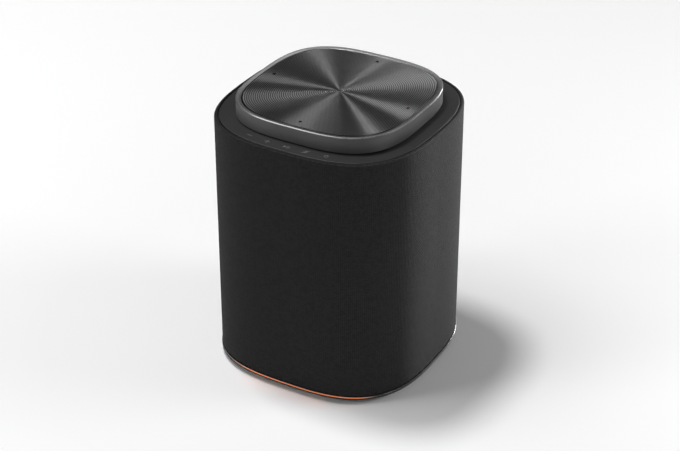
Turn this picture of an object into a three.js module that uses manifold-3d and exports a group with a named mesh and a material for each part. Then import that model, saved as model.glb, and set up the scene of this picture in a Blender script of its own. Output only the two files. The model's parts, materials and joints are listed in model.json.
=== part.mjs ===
// A smart speaker: a fabric-covered squircle column with a raised metal cap on top.
// Millimetres, +Z up, origin on the table under the middle of the foot. The front faces -Y:
// it has the touch marks, the lit edge and the woofer. The mains inlet is at the back, facing +Y.
//
// Every horizontal outline is a superellipse, |x|^n + |y|^n = half^n. Radii named "half" are
// half-widths on the X or Y axis. Pieces that touch on the real object keep a small gap here.

import * as THREE from "three";
import { mergeVertices } from "three/addons/utils/BufferGeometryUtils.js";
import Module from "manifold-3d";

const wasm = await Module();
wasm.setup();

// ---------------------------------------------------------------- driving dimensions

const GAP = 0.3; // between pieces that touch on the real object
const SEGMENTS = 32; // around the outer pieces
const ROUND = 20; // around the loudspeaker pieces

const BODY = { half: 72, exponent: 2.93, top: 175 };
const CAP = { half: 58.7, exponent: 3.12, top: 186, wall: 2 };
const BASE = { half: 72.4, bottom: 2.5, edgeTop: 4.4, floorTop: 5.2, wallTop: 12 };
const FOOT = { inner: 58, outer: 61.5, top: 3.6 };
const LIGHT = { inner: 67, bottom: 4.7, top: 5.8 };
const SLEEVE = { thickness: 1, bottom: 6.3, hem: 2.1, roll: 1.2 };
const FRAME = { outer: 70.7, inner: 68.7, bottom: 7.6, top: 173.8 };
const DECK = { half: 69.3, thickness: 2.5, opening: 46 };
const DISC = { half: 55.3, top: 185.6, thickness: 1.7, micRadius: 48.5, micHole: 0.6 };
const MIC_BOARD = { inner: 43, outer: 53, bottom: 180.5, top: 182.1 };
const TOUCH_STRIP = { inner: 61.4, outer: 66.2, bottom: 170.4, thickness: 1.2 };
const TOUCH_PAD = { curve: 63.9, spacing: 13.7, count: 5, radius: 2, height: 0.5 };
const BOX = { half: 56, corner: 12, wall: 3, bottom: 26.8, top: 152 };
const LID = { thickness: 3, postTop: 159.7 };
const MAIN_BOARD = { half: 50, corner: 8, bottom: 160, thickness: 1.6 };
const POWER_BOARD = { x: 90, y: 66, bottom: 9, thickness: 1.6 };
const POST = { at: 42, radius: 4.5, hole: 1.75, top: 26.4 };
const WOOFER = { z: 73.5, flange: 43.5, cutout: 36.5, screwCircle: 40.7, screwHole: 1.65 };
const TWEETER = { z: 134, flange: 16.2, cutout: 13.7 };
const PASSIVE = { z: 88, flange: 37.5, cutout: 33.5 };
const INLET = { z: 20, panelX: 40, panelZ: 20, panelBack: 70.1, panelFace: 72.1 };
const INLET_BODY = { x: 24, z: 12, back: 51, face: 69.8 };
const SOCKET = { lobe: 3.8, lobeOffset: 4.2, waist: 6, depth: 12, pin: 1.2, pinOffset: 4.3 };

// ---------------------------------------------------------------- materials

const FINISHES = {
  fabric: [0x1c1c1d, 0.95, 0],
  blackPlastic: [0x242426, 0.55, 0],
  framePlastic: [0x161617, 0.8, 0],
  enclosurePlastic: [0x2b2c2f, 0.7, 0],
  rubber: [0x121212, 0.9, 0],
  lightGuide: [0xe0783c, 0.3, 0],
  darkAluminium: [0x4a4b4d, 0.35, 0.9],
  aluminium: [0xa9adb1, 0.4, 0.9],
  steel: [0x8d9094, 0.35, 1],
  zinc: [0xb9bcc0, 0.3, 1],
  ferrite: [0x303033, 0.6, 0.1],
  cone: [0x2a2a2c, 0.75, 0],
  spider: [0xb58a4a, 0.9, 0],
  copper: [0xb06a3a, 0.35, 1],
  silk: [0x35312d, 0.8, 0],
  board: [0x1f4a33, 0.5, 0],
  capacitor: [0x22303f, 0.45, 0.1],
  cable: [0x2c2c2e, 0.6, 0],
  brass: [0xc7a45a, 0.3, 1],
};

const finish = (name) => {
  const [color, roughness, metalness] = FINISHES[name];
  return new THREE.MeshStandardMaterial({ color, roughness, metalness });
};

// ---------------------------------------------------------------- solids and shapes

// A geometry as a manifold-3d solid, for joining and cutting.
function solidOf(geometry) {
  const bare = new THREE.BufferGeometry();
  const source = geometry.index ? geometry.toNonIndexed() : geometry;
  bare.setAttribute("position", source.getAttribute("position"));
  const merged = mergeVertices(bare, 1e-3);
  const corners = [];
  for (let i = 0; i < merged.index.count; i += 3) {
    const [a, b, c] = [0, 1, 2].map((k) => merged.index.getX(i + k));
    if (a !== b && b !== c && c !== a) corners.push(a, b, c);
  }
  return new wasm.Manifold(
    new wasm.Mesh({
      numProp: 3,
      vertProperties: new Float32Array(merged.attributes.position.array),
      triVerts: new Uint32Array(corners),
    }),
  );
}

function geometryOf(solid) {
  const { vertProperties, triVerts } = solid.getMesh();
  const geometry = new THREE.BufferGeometry();
  geometry.setAttribute("position", new THREE.BufferAttribute(vertProperties, 3));
  geometry.setIndex(new THREE.BufferAttribute(triVerts, 1));
  return geometry;
}

const cut = (geometry, tools) =>
  geometryOf(tools.reduce((body, tool) => body.subtract(solidOf(tool)), solidOf(geometry)));

const join = (geometries) =>
  geometryOf(geometries.slice(1).reduce((body, g) => body.add(solidOf(g)), solidOf(geometries[0])));

// A profile of [radius, z] points turned about Z. Points run up the outside and down the inside.
function lathe(profile, segments = ROUND) {
  const points = profile.map(([r, z]) => new THREE.Vector2(r, z));
  const closesOnAxis = profile[0][0] === 0;
  if (!closesOnAxis) points.push(points[0].clone());
  return new THREE.LatheGeometry(points, segments).rotateX(Math.PI / 2);
}

// A lathe whose circles become superellipses: the profile's radius is the half-width.
// A point at angle t on the circle goes to (cos t)^(2/n), (sin t)^(2/n), with their signs kept,
// which sets the points closer together round the corners than along the sides.
function squircle(profile, exponent = BODY.exponent) {
  const geometry = lathe(profile, SEGMENTS);
  const position = geometry.getAttribute("position");
  const bend = (value) => {
    const size = Math.abs(value);
    return size < 1e-6 ? 0 : Math.sign(value) * size ** (2 / exponent);
  };
  for (let i = 0; i < position.count; i++) {
    const [x, y] = [position.getX(i), position.getY(i)];
    const radius = Math.hypot(x, y) || 1;
    position.setXY(i, radius * bend(x / radius), radius * bend(y / radius));
  }
  return geometry;
}

// Half the superellipse's depth at x, so that y = -depth(x, half) is its front edge.
const depth = (x, half) => (half ** BODY.exponent - Math.abs(x) ** BODY.exponent) ** (1 / BODY.exponent);

const block = (x, y, z, [cx, cy, cz] = [0, 0, 0]) =>
  new THREE.BoxGeometry(x, y, z).translate(cx, cy, cz);

// A cylinder along Z from z0 to z1, at x and y.
const rod = (radius, z0, z1, [x, y] = [0, 0], sides = 16) =>
  new THREE.CylinderGeometry(radius, radius, z1 - z0, sides)
    .rotateX(Math.PI / 2)
    .translate(x, y, (z0 + z1) / 2);

const rodAlongY = (radius, y0, y1, [x, z], sides = 16) =>
  new THREE.CylinderGeometry(radius, radius, y1 - y0, sides).translate(x, (y0 + y1) / 2, z);

function roundedSquare(half, corner) {
  const shape = new THREE.Shape();
  const straight = half - corner;
  shape.moveTo(half, -straight);
  [0, 1, 2, 3].forEach((quarter) => {
    const turn = (quarter * Math.PI) / 2;
    const [sx, sy] = [[1, 1], [-1, 1], [-1, -1], [1, -1]][quarter];
    shape.absarc(sx * straight, sy * straight, corner, turn, turn + Math.PI / 2, false);
  });
  return shape;
}

// A flat shape with upright sides from z0 to z1.
function slab(shape, z0, z1, curveSegments = 5) {
  const options = { depth: z1 - z0, bevelEnabled: false, curveSegments };
  return new THREE.ExtrudeGeometry(shape, options).translate(0, 0, z0);
}

// A strip that follows the front edge, between two half-widths, out to x = reachX either side.
function frontStrip(inner, outer, reachX, z0, z1, steps = 12) {
  const xs = Array.from({ length: steps + 1 }, (_, i) => -reachX + (2 * reachX * i) / steps);
  const front = xs.map((x) => new THREE.Vector2(x, -depth(x, outer)));
  const back = xs.map((x) => new THREE.Vector2(x, -depth(x, inner))).reverse();
  return slab(new THREE.Shape([...front, ...back]), z0, z1);
}

// A flat cable: a side profile of [y, z] points, thickened, and as wide as width in X.
function flatCable(path, thickness, width, x) {
  const points = path.map(([y, z]) => new THREE.Vector3(0, y, z));
  const curve = new THREE.CatmullRomCurve3(points, false, "catmullrom", 0.3);
  const section = new THREE.Shape([
    new THREE.Vector2(-width / 2, -thickness / 2),
    new THREE.Vector2(width / 2, -thickness / 2),
    new THREE.Vector2(width / 2, thickness / 2),
    new THREE.Vector2(-width / 2, thickness / 2),
  ]);
  const steps = 4 * (path.length - 1);
  return new THREE.ExtrudeGeometry(section, { steps, extrudePath: curve }).translate(x, 0, 0);
}

// A half-round roll between two radii with a flat lip on each side, resting at z.
function rollSurround(innerLip, rollInner, rollOuter, outerLip, z, thickness = 0.7, steps = 4) {
  const centre = (rollInner + rollOuter) / 2;
  const outside = (rollOuter - rollInner) / 2;
  const arc = (radius, from, to) =>
    Array.from({ length: steps + 1 }, (_, i) => {
      const a = from + ((to - from) * i) / steps;
      return [centre + radius * Math.cos(a), z + radius * Math.sin(a)];
    });
  const foot = Math.asin(thickness / outside);
  return lathe([
    [outerLip, z],
    [outerLip, z + thickness],
    ...arc(outside, foot, Math.PI - foot),
    [innerLip, z + thickness],
    [innerLip, z],
    ...arc(outside - thickness, Math.PI, 0),
  ]);
}

// ---------------------------------------------------------------- placing

const speaker = new THREE.Group();

function piece(name, geometry, finishName, parent = speaker) {
  const mesh = new THREE.Mesh(geometry, finish(finishName));
  mesh.name = name;
  parent.add(mesh);
  return mesh;
}

// A group whose local +Z points out through a wall of the enclosure, with z = 0 on that wall.
function driverSeat(direction, height) {
  const seat = new THREE.Group();
  const out = { front: [0, -1, 0], left: [-1, 0, 0], right: [1, 0, 0] }[direction];
  const normal = new THREE.Vector3(...out);
  seat.position.copy(normal).multiplyScalar(BOX.half).setZ(height);
  seat.quaternion.setFromUnitVectors(new THREE.Vector3(0, 0, 1), normal);
  speaker.add(seat);
  return seat;
}

const corners = (at) => [[-at, -at], [at, -at], [at, at], [-at, at]];

// A screw along Z: a head with a cross recess above z = 0, and a shank below it.
function screw(headRadius, headHeight, shankRadius, length) {
  const profile = [
    [0, -length],
    [shankRadius, -length],
    [shankRadius, 0],
    [headRadius, 0],
    [headRadius, 0.6 * headHeight],
    [0.7 * headRadius, headHeight],
    [0, headHeight],
  ];
  const recess = [1.3, 0.28].map((share) => share * headRadius);
  const slots = [recess, recess.toReversed()].map(([x, y]) =>
    block(x, y, headHeight, [0, 0, 0.9 * headHeight]),
  );
  return cut(lathe(profile, 10), slots);
}

// ---------------------------------------------------------------- base

function makeFootRing() {
  const profile = [
    [FOOT.outer - 0.5, 0],
    [FOOT.outer, 0.5],
    [FOOT.outer, FOOT.top],
    [FOOT.inner, FOOT.top],
    [FOOT.inner, 0.5],
    [FOOT.inner + 0.5, 0],
  ];
  piece("foot_ring", squircle(profile), "rubber");
}

function makeBaseCover() {
  const groove = { inner: FOOT.inner - GAP, outer: FOOT.outer + GAP, top: FOOT.top + GAP };
  const wall = { outer: 62.5, inner: 60.5 };
  const tray = squircle([
    [0, BASE.bottom],
    [groove.inner, BASE.bottom],
    [groove.inner, groove.top],
    [groove.outer, groove.top],
    [groove.outer, BASE.bottom],
    [BASE.half - 1, BASE.bottom],
    [BASE.half, BASE.bottom + 0.8],
    [BASE.half, BASE.edgeTop],
    [wall.outer, BASE.edgeTop],
    [wall.outer, BASE.wallTop],
    [wall.inner, BASE.wallTop],
    [wall.inner, BASE.floorTop],
    [0, BASE.floorTop],
  ]);
  const posts = corners(POST.at).map((at) => rod(POST.radius, BASE.floorTop - 1, POST.top, at, 12));
  const boardPegs = [[-38, -26], [38, -26], [38, 26], [-38, 26]].map((at) =>
    rod(3, BASE.floorTop - 1, POWER_BOARD.bottom - GAP, at, 8),
  );
  const headRecess = corners(POST.at).map((at) => rod(3.4, BASE.bottom - 1, 5, at, 12));
  const screwHoles = corners(POST.at).map((at) => rod(POST.hole, 4, POST.top + 1, at, 12));
  const inletGap = block(INLET.panelX, 20, 10, [0, wall.outer, BASE.floorTop + 5.5]);
  const openings = [...headRecess, ...screwHoles, inletGap];
  piece("base_cover", cut(join([tray, ...posts, ...boardPegs]), openings), "blackPlastic");
}

function makeBaseScrews() {
  corners(POST.at).forEach(([x, y], i) => {
    const mesh = piece(`base_screw_${i + 1}`, screw(3, 1.7, 1.4, 29), "steel");
    mesh.rotation.x = Math.PI;
    mesh.position.set(x, y, 4.7);
  });
}

function makeLightRing() {
  const edge = 0.25;
  const profile = [
    [LIGHT.inner, LIGHT.bottom],
    [BASE.half - edge, LIGHT.bottom],
    [BASE.half, LIGHT.bottom + edge],
    [BASE.half, LIGHT.top - edge],
    [BASE.half - edge, LIGHT.top],
    [LIGHT.inner, LIGHT.top],
  ];
  piece("light_ring", squircle(profile), "lightGuide");
}

// The strip that lights the front of the ring: a thin board on edge, with a row of LEDs on it.
function makeLedBoard() {
  const board = frontStrip(64.7, 65.4, 46, LIGHT.bottom + 0.1, 7.3);
  const leds = Array.from({ length: 11 }, (_, i) => {
    const x = (i - 5) * 8;
    const slope = Math.atan2(depth(x - 1, 65.4) - depth(x + 1, 65.4), 2);
    return block(3, 1.4, 1).rotateZ(slope).translate(x, -depth(x, 65.5), 5.4);
  });
  piece("led_board", join([board, ...leds]), "board");
}

// ---------------------------------------------------------------- sleeve, frame and deck

const inletCut = (margin) =>
  block(INLET.panelX + 2 * margin, 16, INLET.panelZ + 2 * margin, [0, BODY.half, INLET.z]);

// The knitted sleeve. Its ends are rolled over the frame and tucked in.
function makeFabricSleeve() {
  const { thickness, bottom, hem, roll } = SLEEVE;
  const inside = BODY.half - thickness;
  const profile = [
    [BODY.half - hem, bottom],
    [BODY.half - 0.5, bottom],
    [BODY.half, bottom + 0.6],
    [BODY.half, BODY.top - roll],
    [BODY.half - 0.3 * roll, BODY.top - 0.3 * roll],
    [BODY.half - roll, BODY.top],
    [BODY.half - hem, BODY.top],
    [BODY.half - hem, BODY.top - 0.8],
    [inside, BODY.top - 0.8],
    [inside, bottom + 0.9],
    [BODY.half - hem, bottom + 0.9],
  ];
  piece("fabric_sleeve", cut(squircle(profile), [inletCut(GAP)]), "fabric");
}

// The open frame that holds the fabric out. Its windows let the sound through.
function makeGrilleFrame() {
  const rebate = { depth: 1, height: 1.7 };
  const flange = { inner: 64, top: 9.6 };
  const tube = squircle([
    [flange.inner, FRAME.bottom],
    [FRAME.outer, FRAME.bottom],
    [FRAME.outer, FRAME.top],
    [FRAME.outer - rebate.depth, FRAME.top],
    [FRAME.outer - rebate.depth, FRAME.top - rebate.height],
    [FRAME.inner, FRAME.top - rebate.height],
    [FRAME.inner, flange.top],
    [flange.inner, flange.top],
  ]);
  const columns = 16;
  const window = { width: 20, height: 40, heights: [56, 103, 150] };
  const tools = [inletCut(GAP)];
  for (let column = 0; column < columns; column++) {
    for (const height of window.heights) {
      const tool = block(30, window.width, window.height, [FRAME.outer + 4, 0, height]);
      tools.push(tool.rotateZ(((column + 0.5) * 2 * Math.PI) / columns));
    }
  }
  piece("grille_frame", cut(tube, tools), "framePlastic");
}

function makeTopDeck() {
  const bottom = BODY.top - DECK.thickness;
  const skirt = { outer: 68.2, inner: 66.9, bottom: 164 };
  const profile = [
    [skirt.inner, skirt.bottom],
    [skirt.outer, skirt.bottom],
    [skirt.outer, bottom],
    [DECK.half, bottom],
    [DECK.half, BODY.top - 0.35],
    [DECK.half - 0.35, BODY.top],
    [DECK.opening, BODY.top],
    [DECK.opening, bottom],
    [skirt.inner, bottom],
  ];
  piece("top_deck", squircle(profile), "blackPlastic");
}

// Five sensing pads on a curved strip, right under the touch marks on the deck.
function makeTouchBoard() {
  const { inner, outer, bottom, thickness } = TOUCH_STRIP;
  const { curve, spacing, count, radius, height } = TOUCH_PAD;
  const top = bottom + thickness;
  const strip = frontStrip(inner, outer, (spacing * count) / 2, bottom, top);
  const pads = Array.from({ length: count }, (_, i) => {
    const x = (i - (count - 1) / 2) * spacing;
    return rod(radius, top - 0.1, top + height, [x, -depth(x, curve)]);
  });
  piece("touch_board", join([strip, ...pads]), "board");
}

// ---------------------------------------------------------------- cap

function makeCapRim() {
  const inside = CAP.half - CAP.wall;
  const shelf = { inner: 54, top: DISC.top - DISC.thickness - GAP, thickness: 1.4 };
  const profile = [
    [inside, BODY.top + 0.5],
    [CAP.half - 0.3, BODY.top + 0.5],
    [CAP.half, BODY.top + 0.8],
    [CAP.half, CAP.top - 0.45],
    [CAP.half - 0.4, CAP.top],
    [CAP.half - 1.1, CAP.top],
    [DISC.half + GAP, DISC.top - 0.1],
    [DISC.half + GAP, shelf.top],
    [shelf.inner, shelf.top],
    [shelf.inner, shelf.top - shelf.thickness],
    [inside, shelf.top - shelf.thickness],
  ];
  piece("cap_rim", squircle(profile, CAP.exponent), "darkAluminium");
}

const micPlaces = { front: [0, -1], right: [1, 0], back: [0, 1], left: [-1, 0] };

function makeCapDisc() {
  const { half, top, thickness, micRadius, micHole } = DISC;
  const bottom = top - thickness;
  const plate = squircle([[0, bottom], [half, bottom], [half, top], [0, top]], CAP.exponent);
  const holes = Object.values(micPlaces).map(([x, y]) =>
    rod(micHole, bottom - 1, top + 1, [x * micRadius, y * micRadius], 10),
  );
  piece("cap_disc", cut(plate, holes), "darkAluminium");
}

// The moulding that closes the cap from below and holds the microphone board.
function makeCapCarrier() {
  const half = CAP.half - CAP.wall - GAP;
  const [bottom, top] = [BODY.top + 0.9, BODY.top + 3.1];
  const plate = squircle([[38, bottom], [half, bottom], [half, top], [38, top]], CAP.exponent);
  const at = (MIC_BOARD.inner + MIC_BOARD.outer) / 2 / Math.SQRT2;
  const posts = corners(at).map((place) => rod(2.6, top - 1, MIC_BOARD.bottom - GAP, place, 12));
  piece("cap_carrier", join([plate, ...posts]), "blackPlastic");
}

function makeMicBoard() {
  const { inner, outer, bottom, top } = MIC_BOARD;
  const ring = lathe([[inner, bottom], [outer, bottom], [outer, top], [inner, top]], SEGMENTS);
  const cans = Object.values(micPlaces).map(([x, y]) =>
    block(3.8, 3, 1.1, [x * DISC.micRadius, y * DISC.micRadius, bottom - 0.45]),
  );
  const plug = block(3, 10, 1.6, [inner + 2, 0, bottom - 0.7]);
  const ports = Object.values(micPlaces).map(([x, y]) =>
    rod(0.6, bottom + 0.3, top + 1, [x * DISC.micRadius, y * DISC.micRadius], 8),
  );
  piece("mic_board", cut(join([ring, ...cans, plug]), ports), "board");
}

function makeMicGaskets() {
  const [bottom, top] = [MIC_BOARD.top + GAP, DISC.top - DISC.thickness - GAP];
  for (const [side, [x, y]] of Object.entries(micPlaces)) {
    const ring = lathe([[1, bottom], [3, bottom], [3, top], [1, top]], 10);
    piece(`mic_gasket_${side}`, ring, "rubber").position.set(x * DISC.micRadius, y * DISC.micRadius, 0);
  }
}

// ---------------------------------------------------------------- acoustic enclosure

function makeEnclosureTub() {
  const { half, corner, wall, bottom, top } = BOX;
  const outside = slab(roundedSquare(half, corner), bottom, top);
  const inside = slab(roundedSquare(half - wall, corner - wall), bottom + wall, top + 1);
  const bosses = corners(POST.at).map((at) => rod(4.4, bottom + wall - 1, 38, at, 12));
  const screwHoles = corners(POST.at).map((at) => rod(POST.hole, bottom - 1, 35.5, at, 12));
  const woofer = rodAlongY(WOOFER.cutout, -half - 2, -half + wall + 2, [0, WOOFER.z], ROUND);
  const tweeter = rodAlongY(TWEETER.cutout, -half - 2, -half + wall + 2, [0, TWEETER.z], ROUND);
  const passive = [-1, 1].map((side) =>
    rodAlongY(PASSIVE.cutout, -wall - 2, wall + 2, [0, 0], ROUND)
      .rotateZ(Math.PI / 2)
      .translate(side * half, 0, PASSIVE.z),
  );
  const pilots = wooferScrewPlaces().map(([x, z]) =>
    rodAlongY(WOOFER.screwHole, -half - 2, -half + wall + 2, [x, WOOFER.z + z], 10),
  );
  const tub = join([cut(outside, [inside]), ...bosses]);
  const openings = [...screwHoles, woofer, tweeter, ...passive, ...pilots];
  piece("enclosure_tub", cut(tub, openings), "enclosurePlastic");
}

function makeEnclosureLid() {
  const { half, corner, wall, top } = BOX;
  const bottom = top + GAP;
  const lipHalf = half - wall - GAP;
  const plate = slab(roundedSquare(half, corner), bottom, bottom + LID.thickness);
  const lip = slab(roundedSquare(lipHalf, corner - wall), bottom - 3, bottom + 0.5);
  const hollow = slab(roundedSquare(lipHalf - 2, corner - wall - 1), bottom - 4, bottom);
  const posts = corners(40).map((at) => rod(3, bottom + LID.thickness - 1, LID.postTop, at, 12));
  piece("enclosure_lid", join([plate, cut(lip, [hollow]), ...posts]), "enclosurePlastic");
}

// ---------------------------------------------------------------- woofer

const wooferScrewPlaces = () => corners(WOOFER.screwCircle / Math.SQRT2);

function makeWoofer() {
  const seat = driverSeat("front", WOOFER.z);
  const rim = { ledge: 1.8, top: 2.8, inner: 34.4, ledgeEdge: 38 };

  const basket = lathe([
    [10.8, -22],
    [18.5, -22],
    [WOOFER.cutout - GAP, -2],
    [WOOFER.cutout - GAP, GAP],
    [WOOFER.flange, GAP],
    [WOOFER.flange, rim.top],
    [rim.ledgeEdge, rim.top],
    [rim.ledgeEdge, rim.ledge],
    [rim.inner, rim.ledge],
    [rim.inner, -1],
    [17.6, -20.4],
    [10.8, -20.4],
  ]);
  const openings = Array.from({ length: 6 }, (_, i) =>
    block(16, 11, 9, [31, 0, -10]).rotateZ(((i + 0.5) * Math.PI) / 3),
  );
  const screwHoles = wooferScrewPlaces().map((at) => rod(WOOFER.screwHole, -1, 4, at, 10));
  piece("woofer_basket", cut(basket, [...openings, ...screwHoles]), "steel", seat);

  piece("woofer_surround", rollSurround(30.6, 31.9, 36.4, 37.4, 2.1), "rubber", seat);
  const cone = [[10.1, -14], [11.3, -14], [31.4, 0.4], [31.4, 1.8], [30.2, 1.8], [10.1, -12.6]];
  piece("woofer_cone", lathe(cone), "cone", seat);
  piece("woofer_dust_cap", lathe(dustCapProfile()), "cone", seat);
  const coil = [[9.2, -31], [9.85, -31], [9.85, -14.3], [9.2, -14.3]];
  piece("woofer_voice_coil", lathe(coil), "copper", seat);
  piece("woofer_spider", lathe(spiderProfile()), "spider", seat);

  const topPlate = [[10.3, -26.3], [21, -26.3], [21, -22.3], [10.3, -22.3]];
  piece("woofer_top_plate", lathe(topPlate), "zinc", seat);
  const magnet = [[13, -36.6], [24, -36.6], [24, -26.6], [13, -26.6]];
  piece("woofer_magnet", lathe(magnet), "ferrite", seat);
  const yoke = [[0, -40.9], [22, -40.9], [22, -36.9], [8.7, -36.9], [8.7, -22.5], [0, -22.5]];
  piece("woofer_yoke", lathe(yoke), "zinc", seat);

  wooferScrewPlaces().forEach(([x, y], i) => {
    const mesh = piece(`woofer_screw_${i + 1}`, screw(2.3, 1.5, 1.3, 8), "steel", seat);
    mesh.position.set(x, y, rim.top + GAP);
  });
}

// A shallow dome over the coil, from its underside on the axis round to its top on the axis.
function dustCapProfile() {
  const shell = { radius: 12.7, rise: 5, thickness: 0.8, base: -10.2, steps: 3 };
  const arc = (radius, rise) =>
    Array.from({ length: shell.steps + 1 }, (_, i) => {
      const a = (i / shell.steps) * (Math.PI / 2);
      return [i === shell.steps ? 0 : radius * Math.cos(a), shell.base + rise * Math.sin(a)];
    });
  const under = arc(shell.radius - shell.thickness, shell.rise - shell.thickness).reverse();
  return [...under, ...arc(shell.radius, shell.rise)];
}

// Corrugated cloth between the coil and the basket.
function spiderProfile() {
  const ring = { inner: 10.2, outer: 20.4, z: -16, wave: 0.5, thickness: 0.6, steps: 6 };
  const line = (offset) =>
    Array.from({ length: ring.steps + 1 }, (_, i) => [
      ring.inner + ((ring.outer - ring.inner) * i) / ring.steps,
      ring.z + (i % 2 ? ring.wave : -ring.wave) + offset,
    ]);
  return [...line(0), ...line(ring.thickness).reverse()];
}

// ---------------------------------------------------------------- tweeter and passive radiators

function makeTweeter() {
  const seat = driverSeat("front", TWEETER.z);
  const plate = [[10.6, GAP], [TWEETER.flange, GAP], [TWEETER.flange, 2.4], [12.5, 2.4], [10.6, 1.4]];
  piece("tweeter_faceplate", lathe(plate), "blackPlastic", seat);
  const cupRadius = TWEETER.cutout - GAP;
  const cup = [[0, -12.3], [cupRadius, -12.3], [cupRadius, 0], [9.9, 0], [9.9, -3.2], [0, -3.2]];
  piece("tweeter_magnet", lathe(cup), "zinc", seat);
  const under = [[0, 3], [4.6, 2.4], [7.6, 0.9], [8.6, -2]];
  const over = [[9.3, -2], [9.5, 0.9], [7.9, 2.4], [4.8, 3.4], [0, 4]];
  piece("tweeter_dome", lathe([...under, ...over]), "silk", seat);
}

function makePassiveRadiator(side) {
  const seat = driverSeat(side, PASSIVE.z);
  const name = `passive_${side}`;
  const throat = 30.8;
  const frame = [
    [throat, -2.7],
    [PASSIVE.cutout - GAP, -2.7],
    [PASSIVE.cutout - GAP, GAP],
    [PASSIVE.flange, GAP],
    [PASSIVE.flange, 2.3],
    [throat, 2.3],
  ];
  piece(`${name}_frame`, lathe(frame), "blackPlastic", seat);
  piece(`${name}_surround`, rollSurround(23, 24.6, 30.4, 34, 2.6), "rubber", seat);
  const plate = [[0, -5], [12, -5], [12, 0.8], [24.2, 0.8], [24.2, 2.3], [0, 2.3]];
  piece(`${name}_plate`, lathe(plate), "aluminium", seat);
}

// ---------------------------------------------------------------- electronics

function makeMainBoard() {
  const { half, corner, bottom, thickness } = MAIN_BOARD;
  const top = bottom + thickness;
  const board = slab(roundedSquare(half, corner), bottom, top, 3);
  const parts = [
    block(14, 5, 4, [-30, -44, top + 1.9]), // touch board plug
    block(5, 11, 4, [33.5, 0, top + 1.9]), // microphone ribbon plug
    block(12, 5, 4, [28, 44.5, top + 1.9]), // supply plug
    block(14, 8, 5, [-32, 10, top + 2.4]), // amplifier coil
    block(8, 8, 1.4, [-30, 28, top + 0.6]), // amplifier chip
    block(10, 7, 1.2, [28, -30, top + 0.5]), // memory chip
  ];
  piece("main_board", join([board, ...parts]), "board");
  const can = { size: 32, height: 3 };
  const lid = block(can.size, can.size, can.height, [0, 0, top + GAP + can.height / 2]);
  piece("shield_can", lid, "zinc");
  const seat = top + can.height + 2 * GAP;
  const sink = { size: 34, plate: 2, fins: 6, pitch: 6.4, fin: 1.6, height: 5.4 };
  const plate = block(sink.size, sink.size, sink.plate, [0, 0, seat + sink.plate / 2]);
  const fins = Array.from({ length: sink.fins }, (_, i) =>
    block(sink.size, sink.fin, sink.height, [0, (i - (sink.fins - 1) / 2) * sink.pitch, seat + 4.4]),
  );
  piece("heat_sink", join([plate, ...fins]), "aluminium");
}

function makeAntennas() {
  [-1, 1].forEach((side) => {
    const board = block(0.8, 30, 12, [side * 56.7, 5, 144]);
    const coaxPlug = block(1.4, 3, 3, [side * 57.6, 5, 141]);
    piece(side < 0 ? "antenna_left" : "antenna_right", join([board, coaxPlug]), "board");
  });
}

function makePowerSupply() {
  const { x, y, bottom, thickness } = POWER_BOARD;
  const top = bottom + thickness;
  const board = block(x, y, thickness, [0, -4, bottom + thickness / 2]);
  const rectifier = block(12, 3, 9, [30, -24, top + 4.4]);
  const plug = block(12, 6, 5, [30, 22, top + 2.4]);
  piece("power_board", join([board, rectifier, plug]), "board");
  const core = block(26, 22, 5, [-22, -4, top + GAP + 7]);
  const winding = rod(9.5, top + GAP, top + GAP + 14, [-22, -4], 20);
  piece("transformer", join([core, winding]), "ferrite");
  const canister = rodAlongY(6, -16, 4, [14, top + GAP + 6], 20);
  piece("capacitor", canister, "capacitor");
}

function makeCables() {
  const supply = [
    [25.4, 13.2], [40, 13.6], [50, 15.5], [57, 21], [60.4, 34], [60.6, 60],
    [60.6, 130], [60.4, 152], [57.5, 161.4], [52.5, 163.6], [47.4, 163.7],
  ];
  piece("power_cable", flatCable(supply, 1.4, 9, 28), "cable");
  const ribbon = [[33.5, 165.9], [33.7, 170], [35.6, 176], [36.9, 178.4], [38.8, 179.4], [42.6, 179.4]];
  piece("mic_ribbon", flatCable(ribbon, 0.4, 9, 0).rotateZ(-Math.PI / 2), "cable");
}

// ---------------------------------------------------------------- mains inlet

// The figure-of-eight opening for the plug, along Y.
function socketTool(y0, y1, margin) {
  const { lobe, lobeOffset, waist } = SOCKET;
  const lobes = [-1, 1].map((side) => rodAlongY(lobe + margin, y0, y1, [side * lobeOffset, INLET.z]));
  const bridge = block(2 * lobeOffset, y1 - y0, waist + 2 * margin, [0, (y0 + y1) / 2, INLET.z]);
  return join([...lobes, bridge]);
}

function makeInlet() {
  const { panelX, panelZ, panelBack, panelFace, z } = INLET;
  const thickness = panelFace - panelBack;
  const panel = block(panelX, thickness, panelZ, [0, (panelFace + panelBack) / 2, z]);
  piece("inlet_bezel", cut(panel, [socketTool(panelBack - 1, panelFace + 1, 0.4)]), "blackPlastic");

  const { x, back, face } = INLET_BODY;
  const body = block(x, face - back, INLET_BODY.z, [0, (face + back) / 2, z]);
  const cavity = socketTool(face - SOCKET.depth, face + 1, 0);
  const pinHoles = [-1, 1].map((side) =>
    rodAlongY(SOCKET.pin + GAP, back - 1, face, [side * SOCKET.pinOffset, z], 12),
  );
  piece("power_inlet", cut(body, [cavity, ...pinHoles]), "blackPlastic");
  [-1, 1].forEach((side) => {
    const pin = rodAlongY(SOCKET.pin, back - 3, face - 2.5, [side * SOCKET.pinOffset, z], 12);
    piece(side < 0 ? "inlet_pin_left" : "inlet_pin_right", pin, "brass");
  });
}

// ---------------------------------------------------------------- assembly

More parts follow.
